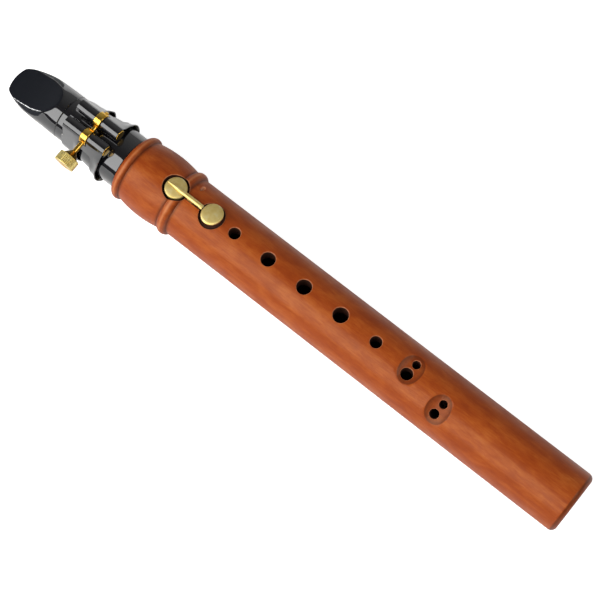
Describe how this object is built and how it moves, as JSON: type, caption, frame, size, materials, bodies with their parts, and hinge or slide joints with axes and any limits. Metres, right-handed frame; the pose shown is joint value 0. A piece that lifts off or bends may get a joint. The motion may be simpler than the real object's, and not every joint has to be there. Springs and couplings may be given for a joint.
{
  "type": "small clarinet",
  "caption": "Small clarinet with a wooden pipe, finger holes, a sunk brass key and a black mouthpiece whose reed is held by a rolled-sheet ligature and a thumb screw.",
  "frame": {"origin": "centre of the bounding box's bottom face, with the instrument lying on its back on its rim bead", "axes": "+X along the pipe from the foot to the mouthpiece's tip, +Z out of the front with the finger holes, +Y to the side of the ligature screw's head"},
  "size_m": [0.3088, 0.0384, 0.0359],
  "materials": {
    "pear_wood": "stained pear wood, oiled to a satin sheen",
    "black_resin": "black moulded resin, polished, with a matt beak",
    "cork": "sanded cork ring, greased",
    "cane": "bare cane with its smooth bark on the back",
    "black_lacquer": "gloss black lacquer on sheet brass",
    "ligature_brass": "turned brass, clear lacquered",
    "key_brass": "pale brass, brushed and polished",
    "pad_skin": "thin skin over felt",
    "blue_steel": "blued spring steel leaf",
    "pin_steel": "plain steel pin"
  },
  "bodies": {
    "pipe": {"body": "pear_wood", "key_pivot_pin": "pin_steel"},
    "key": {"key_arm": "key_brass", "key_touch": "key_brass", "key_pad_cup": "key_brass", "key_pad": "pad_skin", "key_lug": "key_brass", "key_spring": "blue_steel", "spring_rivet": "key_brass"},
    "mouth_part": {"mouthpiece": "black_resin", "tenon_cork": "cork"},
    "ligature": {"ligature_band": "black_lacquer", "ligature_post_clear": "ligature_brass", "ligature_post_threaded": "ligature_brass"},
    "blade": {"reed": "cane"},
    "screw": {"ligature_screw": "ligature_brass"}
  },
  "joints": [
    {"name": "key_rock", "type": "hinge", "parent": "pipe", "child": "key", "pos_m": [0.0489, -0.00335, 0.0279], "axis": [0, -1, 0], "range_deg": [0, 8.5], "stiffness_Nm_per_rad": 0.01, "springref_deg": -22.92, "deforming": ["key_spring"]},
    {"name": "mouthpiece_pull", "type": "slide", "parent": "pipe", "child": "mouth_part", "axis": [1, 0, 0], "range_m": [0, 0.022]},
    {"name": "ligature_slide", "type": "slide", "parent": "mouth_part", "child": "ligature", "axis": [1, 0, 0], "range_m": [0, 0.066]},
    {"name": "reed_slide", "type": "slide", "parent": "mouth_part", "child": "blade", "axis": [1, 0, 0], "range_m": [0, 0.07]},
    {"name": "screw_turn", "type": "hinge", "parent": "ligature", "child": "screw", "pos_m": [0.1018, -0.00169, 0.03174], "axis": [0, 0.9945, -0.1045], "range_deg": [0, 1080]}
  ]
}
